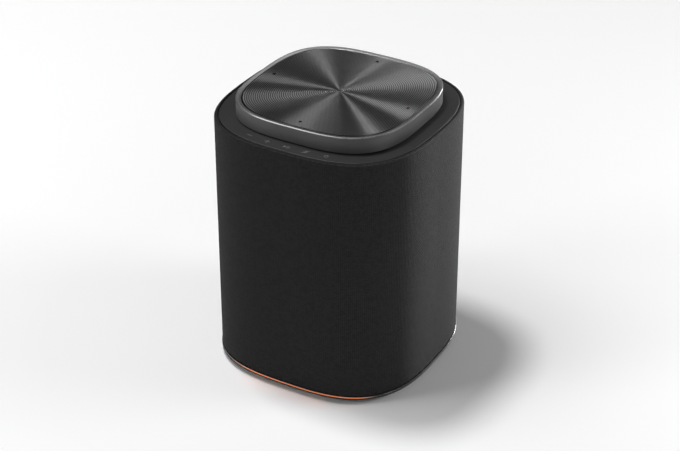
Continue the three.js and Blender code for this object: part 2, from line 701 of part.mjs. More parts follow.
makeFootRing();
makeBaseCover();
makeBaseScrews();
makeLightRing();
makeLedBoard();
makeFabricSleeve();
makeGrilleFrame();
makeTopDeck();
makeTouchBoard();
makeCapRim();
makeCapDisc();
makeCapCarrier();
makeMicBoard();
makeMicGaskets();
makeEnclosureTub();
makeEnclosureLid();
makeWoofer();
makeTweeter();
makePassiveRadiator("left");
makePassiveRadiator("right");
makeMainBoard();
makeAntennas();
makePowerSupply();
makeCables();
makeInlet();

export default speaker;
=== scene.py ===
import json
import math

import bmesh
import bpy
import numpy as np
from mathutils import Matrix, Vector


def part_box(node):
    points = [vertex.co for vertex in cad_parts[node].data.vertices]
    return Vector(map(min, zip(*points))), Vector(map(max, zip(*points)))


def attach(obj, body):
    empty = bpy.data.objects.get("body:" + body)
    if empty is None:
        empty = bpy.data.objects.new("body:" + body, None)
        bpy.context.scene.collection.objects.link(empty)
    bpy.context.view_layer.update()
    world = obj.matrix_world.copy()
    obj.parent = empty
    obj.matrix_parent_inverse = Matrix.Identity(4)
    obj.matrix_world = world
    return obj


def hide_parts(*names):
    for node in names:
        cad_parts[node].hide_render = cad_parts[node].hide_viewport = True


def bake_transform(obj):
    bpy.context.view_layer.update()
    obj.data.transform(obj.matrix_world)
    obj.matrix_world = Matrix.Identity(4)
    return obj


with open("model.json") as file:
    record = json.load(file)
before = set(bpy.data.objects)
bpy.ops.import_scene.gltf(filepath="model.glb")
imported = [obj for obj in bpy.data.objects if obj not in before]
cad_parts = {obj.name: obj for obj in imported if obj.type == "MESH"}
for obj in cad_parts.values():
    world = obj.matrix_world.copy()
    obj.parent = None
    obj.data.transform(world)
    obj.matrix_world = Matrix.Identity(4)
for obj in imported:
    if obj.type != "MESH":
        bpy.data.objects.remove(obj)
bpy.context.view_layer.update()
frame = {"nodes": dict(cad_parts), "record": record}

# A squircle smart speaker: knitted sleeve, touch deck, grooved metal cap, lit base edge.
# Metres, +Z up, front at -Y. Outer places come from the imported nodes' boxes.

MM = 0.001
BODY_EXPONENT = 2.93   # of the body's superellipse outline
CAP_EXPONENT = 3.12    # of the cap's, a little squarer
ROUND = 2.0            # of a circle
AROUND = 288           # points round an outer ring
ON_AXIS = 1e-7         # a profile point nearer to the axis than this lies on it
GAP = 0.3 * MM         # between neighbours that don't touch
SLOT_OF = {s["node"]: s["material_slot"] for s in frame["record"]["subparts"]}


# ------------------------------------------------------------------ camera

VIEW_AZIMUTH = 29.8
VIEW_ELEVATION = 30.66
VIEW_DISTANCE = 1.2
AIM_HEIGHT = 0.087
LENS = 96.8      # millimetres, as Blender takes them
SENSOR = 36.0


def direction(azimuth, elevation):
    """The unit vector towards a place at that azimuth (0 is in front, at -Y) and elevation."""
    a, e = math.radians(azimuth), math.radians(elevation)
    return Vector((math.sin(a) * math.cos(e), -math.cos(a) * math.cos(e), math.sin(e)))


def make_camera():
    aim = Vector((0, 0, AIM_HEIGHT))
    back = direction(VIEW_AZIMUTH, VIEW_ELEVATION)
    camera = bpy.data.objects.new("camera", bpy.data.cameras.new("camera"))
    camera.data.lens = LENS
    camera.data.sensor_width = SENSOR
    camera.data.clip_start, camera.data.clip_end = 0.01, 50
    camera.location = aim + back * VIEW_DISTANCE
    camera.rotation_euler = (-back).to_track_quat("-Z", "Y").to_euler()
    bpy.context.scene.collection.objects.link(camera)
    bpy.context.scene.camera = camera


make_camera()


# ------------------------------------------------------------------ materials

class Graph:
    """A new material's node tree, with short ways to add and join nodes."""

    def __init__(self, name, color, roughness, metallic=0.0, **constants):
        self.material = bpy.data.materials.new(name)
        self.material.use_nodes = True
        self.tree = self.material.node_tree
        self.shader = self.tree.nodes["Principled BSDF"]
        self.shader.inputs["Base Color"].default_value = (*color, 1)
        self.shader.inputs["Roughness"].default_value = roughness
        self.shader.inputs["Metallic"].default_value = metallic
        for socket, value in constants.items():
            self.shader.inputs[socket.replace("_", " ")].default_value = value

    def node(self, kind, settings=None, **inputs):
        made = self.tree.nodes.new(kind)
        for key, value in (settings or {}).items():
            setattr(made, key, value)
        for key, value in inputs.items():
            self.put(made.inputs[key.replace("_", " ")], value)
        return made

    def put(self, socket, value):
        if isinstance(value, bpy.types.NodeSocket):
            self.tree.links.new(value, socket)
        else:
            socket.default_value = value

    def math(self, operation, a, b=0.0, c=0.0):
        made = self.node("ShaderNodeMath", {"operation": operation})
        for socket, value in zip(made.inputs, (a, b, c)):
            self.put(socket, value)
        return made.outputs[0]

    def span(self, value, low, high, to_low=0.0, to_high=1.0, smooth=False):
        made = self.node("ShaderNodeMapRange", Value=value)
        made.interpolation_type = "SMOOTHSTEP" if smooth else "LINEAR"
        for socket, number in zip(list(made.inputs)[1:5], (low, high, to_low, to_high)):
            self.put(socket, number)
        return made.outputs[0]

    def place(self):
        return self.node("ShaderNodeTexCoord").outputs["Object"]

    def stretched(self, x, y, z):
        made = self.node("ShaderNodeMapping", Vector=self.place(), Scale=(x, y, z))
        return made.outputs[0]

    def noise(self, scale, detail=3.0, where=None):
        where = where or self.place()
        return self.node("ShaderNodeTexNoise", Vector=where, Scale=scale, Detail=detail).outputs["Fac"]

    def mix(self, share, a, b):
        made = self.node("ShaderNodeMix", {"data_type": "RGBA"})
        self.put(made.inputs[0], share)
        self.put(made.inputs[6], a)
        self.put(made.inputs[7], b)
        return made.outputs[2]

    def color(self, share, a, b):
        self.put(self.shader.inputs["Base Color"], self.mix(share, (*a, 1), (*b, 1)))

    def rough(self, value):
        self.put(self.shader.inputs["Roughness"], value)

    def bump(self, height, distance, strength=1.0):
        made = self.node("ShaderNodeBump", Height=height, Distance=distance, Strength=strength)
        self.put(self.shader.inputs["Normal"], made.outputs[0])


def shade(color, factor):
    return tuple(channel * factor for channel in color)


def moulded(name, color, roughness, grain=1400.0, depth=0.00002, **constants):
    """Moulded plastic: a fine spark-eroded grain, with a slight unevenness in gloss."""
    g = Graph(name, color, roughness, **constants)
    speckle = g.noise(grain, 2.0)
    cloud = g.noise(35.0, 2.0)
    g.color(g.span(cloud, 0.3, 0.7), shade(color, 0.9), shade(color, 1.12))
    g.rough(g.span(speckle, 0.3, 0.7, roughness - 0.06, roughness + 0.06))
    g.bump(speckle, depth)
    return g.material


def metal(name, color, roughness, grain=(900.0, 900.0, 60.0), depth=0.000004, **constants):
    """Metal with a grain drawn out along its longest scale, and faint clouding."""
    g = Graph(name, color, roughness, 1.0, **constants)
    lines = g.noise(1.0, 3.0, g.stretched(*grain))
    g.color(g.span(g.noise(40.0, 2.0), 0.3, 0.7), shade(color, 0.93), shade(color, 1.07))
    g.rough(g.span(lines, 0.25, 0.75, roughness * 0.8, roughness * 1.25))
    g.bump(lines, depth)
    return g.material


def woven(name, color, roughness, pitch, depth, sheen=0.2):
    """Plain woven cloth: threads over and under, in the object's own directions."""
    g = Graph(name, color, roughness, Sheen_Weight=sheen)
    threads = []
    for axis in ("X", "Z"):
        settings = {"bands_direction": axis}
        wave = g.node("ShaderNodeTexWave", settings, Vector=g.place(), Scale=1 / pitch, Distortion=0.6)
        threads.append(wave.outputs["Fac"])
    crossing = g.math("MULTIPLY", *threads)
    g.color(crossing, shade(color, 0.6), shade(color, 1.25))
    g.bump(crossing, depth)
    return g.material


KNIT_WALE = 1.25 * MM     # from one column of stitches to the next
KNIT_COURSE = 1.1 * MM    # from one row to the next
KNIT_SLANT = 0.55         # how far up a row the arms of a V reach
KNIT_RELIEF = 0.16 * MM
HEATHER = (0.6, 1.4)      # darkest and lightest yarn, against the cloth's own colour
FABRIC_DARK = (0.003, 0.003, 0.0031)
FABRIC_LIGHT = (0.0136, 0.0136, 0.0138)


def knit(name="knit", lift=1.0, gloss=0.24):
    """The sleeve's fine knit: rows of V stitches along the mesh's own u and v, in metres, with a painted
    highlight on each stitch's crown and painted shade in the dips between.
    lift makes it lighter: the lighter copies are painted light on faces that turn up towards the lamps."""
    g = Graph(name, FABRIC_LIGHT, 0.92, Sheen_Weight=0.03, Sheen_Roughness=0.5, Specular_IOR_Level=gloss)
    uv = g.node("ShaderNodeUVMap", {"uv_map": "along"}).outputs[0]
    split = g.node("ShaderNodeSeparateXYZ", Vector=uv)
    wale = g.math("FRACT", g.math("MULTIPLY", split.outputs[0], 1 / KNIT_WALE))
    across = g.math("MULTIPLY", g.math("ABSOLUTE", g.math("SUBTRACT", wale, 0.5)), 2.0)
    climb = g.math("MULTIPLY", across, KNIT_SLANT)
    course = g.math("MULTIPLY_ADD", split.outputs[1], 1 / KNIT_COURSE, climb)
    along = g.math("ABSOLUTE", g.math("SUBTRACT", g.math("FRACT", course), 0.5))
    yarn = g.math("SUBTRACT", 1.0, g.math("POWER", g.math("MULTIPLY", along, 2.0), 2.0))
    rib = g.math("SUBTRACT", 1.0, g.math("POWER", across, 3.0))
    height = g.math("MULTIPLY", yarn, g.math("MULTIPLY_ADD", rib, 0.75, 0.25))
    fibre = g.noise(2600.0, 2.0)
    heather = g.span(g.noise(480.0, 1.0), 0.35, 0.65, *HEATHER)
    broad = g.span(g.noise(28.0, 2.0), 0.3, 0.7, 0.94, 1.06)
    # painted highlight and shade: crowns of the stitches lighter, dips darker (partly the dark inside
    # seen through the gaps); heather and broad noise are the yarn's own uneven tone
    lit = g.math("MULTIPLY", height, g.math("MULTIPLY", heather, broad))
    g.color(lit, shade(FABRIC_DARK, lift), shade(FABRIC_LIGHT, lift))
    g.bump(g.math("MULTIPLY_ADD", fibre, 0.25, height), KNIT_RELIEF)
    return g.material


# Each pair of places is where a fade starts and ends, from dark to lit.
GUIDE_COLOR = (0.03, 0.027, 0.027)
GUIDE_COLOR_LIT = (0.4, 0.13, 0.05)
GUIDE_FRONT = (-20 * MM, -50 * MM)      # in y
GUIDE_EDGE = (0.1 * MM, 0.25 * MM)      # below the ring's top
LIT_COLOR, LIT_STRENGTH = (1.0, 0.23, 0.055), 0.4
LIT_LEFT = (-50 * MM, -24 * MM)         # in x
LIT_RIGHT = (60 * MM, 50 * MM)
PALE_COLOR, PALE_STRENGTH = (0.8, 0.6, 0.56), 0.12   # stray light to the left of the lit stretch
PALE_LEFT = (-68 * MM, -58 * MM)
PALE_RIGHT = (0.0, -20 * MM)


def light_guide():
    """The clear ring: LEDs inside light it along the front, fading out round the front corners."""
    g = Graph("light_guide", GUIDE_COLOR, 0.3, Specular_IOR_Level=0.5, Coat_Weight=0.3)
    split = g.node("ShaderNodeSeparateXYZ", Vector=g.place())
    x, y, z = split.outputs
    in_front = g.span(y, *GUIDE_FRONT, smooth=True)
    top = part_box("light_ring")[1].z
    below_top = g.span(z, *(top - depth for depth in GUIDE_EDGE))
    on_edge = g.math("MULTIPLY", in_front, below_top)
    fades = [g.span(x, *ends, smooth=True) for ends in (LIT_LEFT, LIT_RIGHT)]
    lit = g.math("MULTIPLY", on_edge, g.math("MULTIPLY", *fades))
    stray = g.math("MULTIPLY", g.span(x, *PALE_LEFT, smooth=True), g.span(x, *PALE_RIGHT))
    pale = g.math("MULTIPLY", on_edge, stray)
    ripple = g.span(g.noise(90.0, 1.0), 0.3, 0.7, 0.9, 1.1)
    g.put(g.shader.inputs["Emission Color"], g.mix(lit, (*PALE_COLOR, 1), (*LIT_COLOR, 1)))
    glow = g.math("MULTIPLY", g.math("MULTIPLY", lit, ripple), LIT_STRENGTH)
    g.put(g.shader.inputs["Emission Strength"], g.math("MULTIPLY_ADD", pale, PALE_STRENGTH, glow))
    g.color(lit, GUIDE_COLOR, GUIDE_COLOR_LIT)
    g.rough(g.span(g.noise(600.0), 0.3, 0.7, 0.2, 0.3))
    return g.material


def circuit_board():
    """Solder mask over copper tracks, with gold pads."""
    g = Graph("circuit_board", (0.012, 0.06, 0.03), 0.35, Coat_Weight=0.3)
    settings = {"offset": 0.5}
    cells = g.node("ShaderNodeTexBrick", settings, Vector=g.place(), Scale=260.0, Mortar_Size=0.03)
    g.put(cells.inputs["Color1"], (0.010, 0.055, 0.027, 1))
    g.put(cells.inputs["Color2"], (0.014, 0.07, 0.034, 1))
    g.put(cells.inputs["Mortar"], (0.03, 0.13, 0.06, 1))
    pads = g.node("ShaderNodeTexVoronoi", Vector=g.place(), Scale=420.0).outputs["Distance"]
    pad = g.math("LESS_THAN", pads, 0.16)
    g.put(g.shader.inputs["Base Color"], g.mix(pad, cells.outputs["Color"], (0.5, 0.34, 0.1, 1)))
    g.rough(g.span(g.noise(300.0), 0.3, 0.7, 0.3, 0.42))
    g.bump(cells.outputs["Fac"], 0.02 * MM)
    return g.material


def windings():
    """Enamelled wire wound along the woofer's axis."""
    g = Graph("windings", (0.45, 0.16, 0.06), 0.3, 1.0)
    turns = g.node("ShaderNodeTexWave", {"bands_direction": "Y"}, Vector=g.place(), Scale=900.0)
    g.color(turns.outputs["Fac"], (0.3, 0.1, 0.035), (0.55, 0.2, 0.08))
    g.bump(turns.outputs["Fac"], 0.05 * MM)
    return g.material


def ribbon_jacket():
    """A flat cable: parallel cores show as ribs along it."""
    g = Graph("ribbon_jacket", (0.03, 0.03, 0.032), 0.5)
    cores = g.node("ShaderNodeTexWave", {"bands_direction": "DIAGONAL"}, Vector=g.place(), Scale=300.0)
    g.color(cores.outputs["Fac"], (0.018, 0.018, 0.02), (0.04, 0.04, 0.043))
    g.bump(cores.outputs["Fac"], 0.1 * MM)
    return g.material


GROOVE_PITCH = 1.2145 * MM
GROOVE_START = 0.27 * MM       # from the middle to the first ridge
DISC_METAL = (0.24, 0.24, 0.243)
DISC_GROOVE_SHADE = (0.006, 0.006, 0.006)
DRIFT = math.radians(7)        # of the brushing, to either side of the rings


def grooved_metal():
    """Dark anodised metal, cut and brushed along its rings: sharp along them, soft across them. Painted
    shade darkens the bottom of each groove.
    """
    g = Graph("grooved_metal", DISC_METAL, 0.29, 1.0, Anisotropic=1.0)
    split = g.node("ShaderNodeSeparateXYZ", Vector=g.place())
    x, y = split.outputs[0], split.outputs[1]
    reach = [g.math("POWER", g.math("ABSOLUTE", side), CAP_EXPONENT) for side in (x, y)]
    radius = g.math("POWER", g.math("ADD", *reach), 1 / CAP_EXPONENT)
    turn = g.math("MULTIPLY", g.math("SUBTRACT", radius, GROOVE_START), 2 * math.pi / GROOVE_PITCH)
    # painted shade: the colour darkens towards the bottom of each groove
    ridge = g.span(g.math("COSINE", turn), 0.6, -0.6)
    cloud = g.span(g.noise(45.0, 2.0), 0.3, 0.7, 0.96, 1.04)
    g.color(g.math("MULTIPLY", ridge, cloud), DISC_GROOVE_SHADE, DISC_METAL)
    # the brushing drifts there and back three times round
    angle = g.math("ARCTAN2", y, x)
    drift = g.math("MULTIPLY", g.math("COSINE", g.math("MULTIPLY", angle, 3.0)), DRIFT)
    along = g.math("ADD", angle, drift)
    tangent = g.node("ShaderNodeCombineXYZ", X=g.math("COSINE", along), Y=g.math("SINE", along), Z=0.0)
    g.put(g.shader.inputs["Tangent"], tangent.outputs[0])
    return g.material


BLACK_PLASTIC = (0.016, 0.016, 0.0164)
DARK_METAL = (0.07, 0.07, 0.072)

MATERIALS = {
    "fabric": knit(),
    "matte_black": moulded("black_plastic", BLACK_PLASTIC, 0.48),
    "frame_plastic": moulded("frame_plastic", (0.012, 0.012, 0.012), 0.7, 900.0, 0.00003),
    "enclosure_plastic": moulded("enclosure_plastic", (0.025, 0.026, 0.028), 0.6, 700.0, 0.00004),
    "foot_rubber": moulded("foot_rubber", (0.011, 0.011, 0.011), 0.85, 1800.0, 0.00003),
    "light_guide": light_guide(),
    "dark_aluminium": moulded("dark_aluminium", DARK_METAL, 0.5, 1500.0, 0.000004, Metallic=0.3),
    "bare_aluminium": metal("bare_aluminium", (0.5, 0.52, 0.54), 0.32),
    "steel": metal("steel", (0.33, 0.34, 0.36), 0.34, (500.0, 500.0, 500.0)),
    "ferrite": moulded("ferrite", (0.03, 0.03, 0.033), 0.5, 500.0, 0.00006),
    "paper_cone": moulded("paper_cone", (0.024, 0.024, 0.026), 0.75, 420.0, 0.00012),
    "surround_rubber": moulded("surround_rubber", (0.013, 0.013, 0.014), 0.55, 1200.0, 0.00002),
    "spider_cloth": woven("spider_cloth", (0.42, 0.25, 0.09), 0.9, 0.0011, 0.00015),
    "coil_copper": windings(),
    "dome_silk": woven("dome_silk", (0.045, 0.037, 0.031), 0.7, 0.0005, 0.00005),
    "circuit_board": circuit_board(),
    "capacitor_sleeve": moulded("capacitor_sleeve", (0.015, 0.03, 0.05), 0.35, 200.0, 0.00002),
    "cable_jacket": ribbon_jacket(),
    "pin_brass": metal("pin_brass", (0.62, 0.42, 0.16), 0.22, (900.0, 60.0, 900.0)),
}
# lighter copies of the knit: a painted highlight along the roll's shoulder and painted light on the flat
# strip
SHOULDER_KNIT_PAINTED_HIGHLIGHT = knit("shoulder_knit_painted_highlight", 3.2)    # where the cloth rolls over, and
FOLDED_KNIT_PAINTED_LIGHT = knit("folded_knit_painted_light", 2.0, 0.1)   # the strip that lies flat beside the deck
POLISHED = metal("polished_edge", (0.35, 0.35, 0.355), 0.3, (1800.0, 1800.0, 1800.0), 0.000001)
GROOVED = grooved_metal()
MARK = moulded("mark_print", (0.13, 0.13, 0.133), 0.5, 1600.0, 0.00001)


# ------------------------------------------------------------------ mesh code

MEASURED_AT = 7201    # points that a superellipse's length is measured at


def outline(exponent, count):
    """count points evenly spaced along a superellipse of half-width 1, from +X, and its length."""
    t = np.linspace(0, 2 * np.pi, MEASURED_AT)
    c, s = np.cos(t), np.sin(t)
    reach = (np.abs(c) ** exponent + np.abs(s) ** exponent) ** (-1 / exponent)
    points = np.stack([reach * c, reach * s], 1)
    run = np.concatenate([[0], np.cumsum(np.linalg.norm(np.diff(points, axis=0), axis=1))])
    at = np.linspace(0, run[-1], count, endpoint=False)
    return np.stack([np.interp(at, run, points[:, k]) for k in (0, 1)], 1), run[-1]


def rounded(corners, steps=3):
    """A closed profile from (half, z, radius) corners, with each corner turned into an arc."""
    made = []
    for i, (x, z, radius) in enumerate(corners):
        here = np.array([x, z])
        before = np.array(corners[i - 1][:2]) - here
        after = np.array(corners[(i + 1) % len(corners)][:2]) - here
        if radius <= 0:
            made.append(tuple(here))
            continue
        u, v = before / np.linalg.norm(before), after / np.linalg.norm(after)
        half_angle = math.acos(float(np.clip(u @ v, -1, 1))) / 2
        setback = radius / math.tan(half_angle)
        middle = (u + v) / np.linalg.norm(u + v)
        centre = here + middle * radius / math.sin(half_angle)
        a, b = here + u * setback - centre, here + v * setback - centre
        for k in range(steps + 1):
            turn = a * (1 - k / steps) + b * (k / steps)
            made.append(tuple(centre + turn / np.linalg.norm(turn) * radius))
    return made


def object_from(name, points, faces, material=None):
    mesh = bpy.data.meshes.new(name)
    mesh.from_pydata(points, [], faces)
    made = bpy.data.objects.new(name, mesh)
    bpy.context.scene.collection.objects.link(made)
    if material:
        mesh.materials.append(material)
    return made


def face_outward(mesh):
    work = bmesh.new()
    work.from_mesh(mesh)
    bmesh.ops.recalc_face_normals(work, faces=work.faces)
    work.to_mesh(mesh)
    work.free()


def smooth(piece, angle=35.0):
    piece.data.shade_smooth()
    piece.data.set_sharp_from_angle(angle=math.radians(angle))
    return piece


def swept(name, profile, material, exponent=BODY_EXPONENT, count=AROUND, centre=(0.0, 0.0)):
    """A closed (half, z) profile taken round a superellipse.
    A profile that starts and ends on the axis closes there."""
    ring = outline(exponent, count)[0]
    on_axis = [half < ON_AXIS for half, _ in profile]
    points, starts = [], []
    for (half, z), single in zip(profile, on_axis):
        starts.append(len(points))
        if single:
            points.append((*centre, z))
        else:
            points.extend((half * x + centre[0], half * y + centre[1], z) for x, y in ring)
    faces = []
    spans = list(zip(range(len(profile)), list(range(1, len(profile))) + [0]))
    if on_axis[0] and on_axis[-1]:
        spans.pop()
    for a, b in spans:
        for k in range(count):
            n = (k + 1) % count
            first = [starts[a]] if on_axis[a] else [starts[a] + k, starts[a] + n]
            second = [starts[b]] if on_axis[b] else [starts[b] + n, starts[b] + k]
            faces.append(first + second)
    made = object_from(name, points, faces, material)
    face_outward(made.data)
    return smooth(made)


def name_uvs(piece, exponent, half):
    """UVs in metres: u along the outline at half, v up the piece."""
    mesh = piece.data
    layer = mesh.uv_layers.new(name="along")
    points, length = outline(exponent, 10 * AROUND)
    whole = length * half
    angles = np.unwrap(np.arctan2(points[:, 1], points[:, 0]))
    run = np.arange(len(points)) * length * half / len(points)
    at = np.array([mesh.vertices[loop.vertex_index].co[:] for loop in mesh.loops])
    angle = np.arctan2(at[:, 1], at[:, 0]) % (2 * np.pi)
    u = np.interp(angle, angles, run)
    for face in mesh.polygons:
        corners = u[face.loop_start:face.loop_start + face.loop_total]
        if corners.max() - corners.min() > whole / 2:    # it spans the seam
            corners[corners < whole / 2] += whole
    layer.data.foreach_set("uv", np.stack([u, at[:, 2]], 1).astype(np.float32).ravel())


def cutter(points, low, high, along):
    """A closed prism of a flat outline, from low to high along an axis, for cutting with."""
    axis = "xyz".index(along)
    count = len(points)
    ends = []
    for depth in (low, high):
        for a, b in points:
            at = [a, b]
            at.insert(axis, depth)
            ends.append(tuple(at))
    faces = [list(range(count)), list(range(2 * count - 1, count - 1, -1))]
    faces += [[k, count + k, count + (k + 1) % count, (k + 1) % count] for k in range(count)]
    made = object_from("cutter", ends, faces)
    face_outward(made.data)
    return made


def circle(radius, at=(0.0, 0.0), count=32):
    turn = np.linspace(0, 2 * np.pi, count, endpoint=False)
    return [(at[0] + radius * math.cos(t), at[1] + radius * math.sin(t)) for t in turn]


def box_outline(width, height, corner, at=(0.0, 0.0), steps=6):
    """A rectangle with round corners, as points."""
    made = []
    for quarter, (sx, sy) in enumerate(((1, 1), (-1, 1), (-1, -1), (1, -1))):
        cx, cy = at[0] + sx * (width / 2 - corner), at[1] + sy * (height / 2 - corner)
        for k in range(steps + 1):
            turn = (quarter + k / steps) * math.pi / 2
            made.append((cx + corner * math.cos(turn), cy + corner * math.sin(turn)))
    return made


def apply_modifiers(piece):
    bpy.context.view_layer.update()
    evaluated = piece.evaluated_get(bpy.context.evaluated_depsgraph_get())
    mesh = bpy.data.meshes.new_from_object(evaluated)
    piece.modifiers.clear()
    piece.data = mesh
    mesh.name = piece.name


def combine(piece, tools, operation="DIFFERENCE"):
    """Cuts the tools from the piece, or joins them to it, and removes them.
    The piece's first material goes all over."""
    materials = list(piece.data.materials)[:1]
    for tool in tools:
        step = piece.modifiers.new("cut", "BOOLEAN")
        step.operation = operation
        step.solver = "MANIFOLD"
        step.object = tool
        apply_modifiers(piece)
        bpy.data.objects.remove(tool)
    piece.data.materials.clear()
    for material in materials:
        piece.data.materials.append(material)
    piece.data.polygons.foreach_set("material_index", [0] * len(piece.data.polygons))
    return piece


def bevelled(piece, width, segments=3, angle=40.0):
    """Rounds the sharp edges."""
    step = piece.modifiers.new("bevel", "BEVEL")
    step.width = width
    step.segments = segments
    step.limit_method = "ANGLE"
    step.angle_limit = math.radians(angle)
    apply_modifiers(piece)
    return piece


def settle(piece, body, *nodes):
    """The piece rides on its body and stands for its CAD nodes, which are hidden."""
    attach(piece, body)
    if nodes:
        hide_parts(*nodes)
    return piece


# ------------------------------------------------------------------ base

FOOT_WIDTH = 3.5 * MM
FOOT_ROUND = 0.4 * MM
TREAD_GROOVES = 3
TREAD_DEPTH = 0.35 * MM


def make_foot():
    low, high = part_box("foot_ring")
    outer, inner = high.x, high.x - FOOT_WIDTH
    corners = [(inner, low.z, FOOT_ROUND)]
    for k in range(TREAD_GROOVES):
        middle = inner + FOOT_WIDTH / (TREAD_GROOVES + 1) * (k + 1)
        corners += [
            (middle - 0.6 * TREAD_DEPTH, low.z, 0),
            (middle - 0.35 * TREAD_DEPTH, low.z + TREAD_DEPTH, 0),
            (middle + 0.35 * TREAD_DEPTH, low.z + TREAD_DEPTH, 0),
            (middle + 0.6 * TREAD_DEPTH, low.z, 0),
        ]
    corners += [(outer, low.z, FOOT_ROUND), (outer, high.z, 0), (inner, high.z, 0)]
    settle(swept("foot_tread", rounded(corners), MATERIALS["foot_rubber"]), "housing", "foot_ring")


BASE_FLOOR = 2.7 * MM                            # thickness
BASE_EDGE = 1.9 * MM                             # height of the rim that shows
BASE_FACE = 0.8 * MM                             # the upright part of it,
BASE_UNDERCUT = 4.5 * MM                         # and how far the rest slopes in
BASE_WALL = (60.5 * MM, 62.5 * MM, 12.0 * MM)    # inside, outside, top
POST_AT, POST_RADIUS = (42 * MM, 42 * MM), 4.5 * MM
PEG_AT, PEG_RADIUS = (38 * MM, 26 * MM), 3 * MM   # the power board stands on these
SEAT_RADIUS, SEAT_DEPTH = 3.4 * MM, 2.5 * MM      # for a screw's head
BORE_RADIUS = 1.75 * MM
NOTCH = (40 * MM, 20 * MM, 1 * MM)                # at the inlet: width, depth, corner


def four(x, y):
    """The place in each quarter, anticlockwise from the front left."""
    return [(sx * x, sy * y) for sx, sy in ((-1, -1), (1, -1), (1, 1), (-1, 1))]


def make_base():
    low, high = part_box("base_cover")
    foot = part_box("foot_ring")[1]
    foot_out, foot_in = foot.x + GAP, foot.x - FOOT_WIDTH - GAP
    outer, bottom = high.x, low.z
    groove_top = foot.z + GAP
    wall_in, wall_out, wall_top = BASE_WALL
    floor = bottom + BASE_FLOOR
    edge = bottom + BASE_EDGE
    profile = rounded([
        (0, bottom, 0),
        (foot_in, bottom, 0.3 * MM),
        (foot_in, groove_top, 0),
        (foot_out, groove_top, 0),
        (foot_out, bottom, 0.3 * MM),
        (outer - BASE_UNDERCUT, bottom, 0.8 * MM),
        (outer, edge - BASE_FACE, 0.3 * MM),
        (outer, edge, 0.25 * MM),
        (wall_out, edge, 0),
        (wall_out, wall_top, 0),
        (wall_in, wall_top, 0),
        (wall_in, floor, 0),
        (0, floor, 0),
    ])
    base = swept("base_shell", profile, MATERIALS["matte_black"])
    peg_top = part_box("power_board")[0].z - GAP

    def columns(places, radius, foot_z, head_z):
        return [cutter(circle(radius, at), foot_z, head_z, "z") for at in four(*places)]

    posts = columns(POST_AT, POST_RADIUS, floor - MM, high.z)
    pegs = columns(PEG_AT, PEG_RADIUS, floor - MM, peg_top)
    combine(base, posts + pegs, "UNION")
    seats = columns(POST_AT, SEAT_RADIUS, bottom - MM, bottom + SEAT_DEPTH)
    bores = columns(POST_AT, BORE_RADIUS, bottom, high.z + MM)
    notch = cutter(box_outline(*NOTCH, (0, wall_out)), floor + 0.3 * MM, wall_top + MM, "z")
    combine(base, seats + bores + [notch])
    settle(smooth(base), "housing", "base_cover")


def make_base_screw(number):
    """A pan head with a cross recess, seen from below, and its threaded shank."""
    low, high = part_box(f"base_screw_{number}")
    at = ((low.x + high.x) / 2, (low.y + high.y) / 2)
    head, shank = 2.9 * MM, 1.4 * MM
    under = low.z + 1.7 * MM
    thread = []
    pitch = 1.0 * MM
    turns = int((high.z - under - 3 * MM) / pitch)
    for k in range(turns):
        z = under + 2 * MM + k * pitch
        thread += [(shank - 0.25 * MM, z), (shank, z + 0.35 * pitch), (shank, z + 0.55 * pitch)]
    profile = [
        (0, low.z),
        (0.75 * head, low.z),
        (0.95 * head, low.z + 0.35 * MM),
        (head, low.z + 0.9 * MM),
        (head, under),
        (shank - 0.2 * MM, under),
        *thread,
        (0.4 * MM, high.z),
        (0, high.z),
    ]
    screw = swept(f"base_screw_{number}_turned", profile, MATERIALS["steel"], ROUND, 32, at)
    long, wide, deep = 3.4 * MM, 0.75 * MM, 1.1 * MM
    slots = [box_outline(*size, 0.15 * MM, at, 2) for size in ((long, wide), (wide, long))]
    combine(screw, [cutter(slot, low.z - MM, low.z + deep, "z") for slot in slots])
    settle(smooth(screw), "housing", f"base_screw_{number}")


LIGHT_RING_IN = 67 * MM


def make_light_ring():
    low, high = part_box("light_ring")
    corners = [
        (LIGHT_RING_IN, low.z, 0),
        (high.x, low.z, 0.3 * MM),
        (high.x, high.z, 0.3 * MM),
        (LIGHT_RING_IN, high.z, 0),
    ]
    ring = swept("light_guide_ring", rounded(corners), MATERIALS["light_guide"])
    settle(ring, "housing", "light_ring")


# ------------------------------------------------------------------ sleeve

CLOTH = 1.0 * MM          # thickness
ROLL = 1.25 * MM          # radius of the top edge
HEM = 2.1 * MM
FOLD = 0.8 * MM           # thickness of the hems
# these pick the faces that get the painted highlight and the painted light
SHOULDER_NORMAL = 0.45    # a face in the roll whose normal's z is above this is the shoulder,
FOLDED_NORMAL = 0.8       # and above this the strip that lies flat
SLEEVE_AROUND = 480
INLET_CORNER = 3 * MM     # of the inlet's bezel


def inlet_hole(margin, low, high):
    """A cutter with round corners, a margin wider than the inlet's bezel all round."""
    a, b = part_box("inlet_bezel")
    width, height = b.x - a.x + 2 * margin, b.z - a.z + 2 * margin
    middle = ((a.x + b.x) / 2, (a.z + b.z) / 2)
    return cutter(box_outline(width, height, INLET_CORNER + margin, middle), low, high, "y")


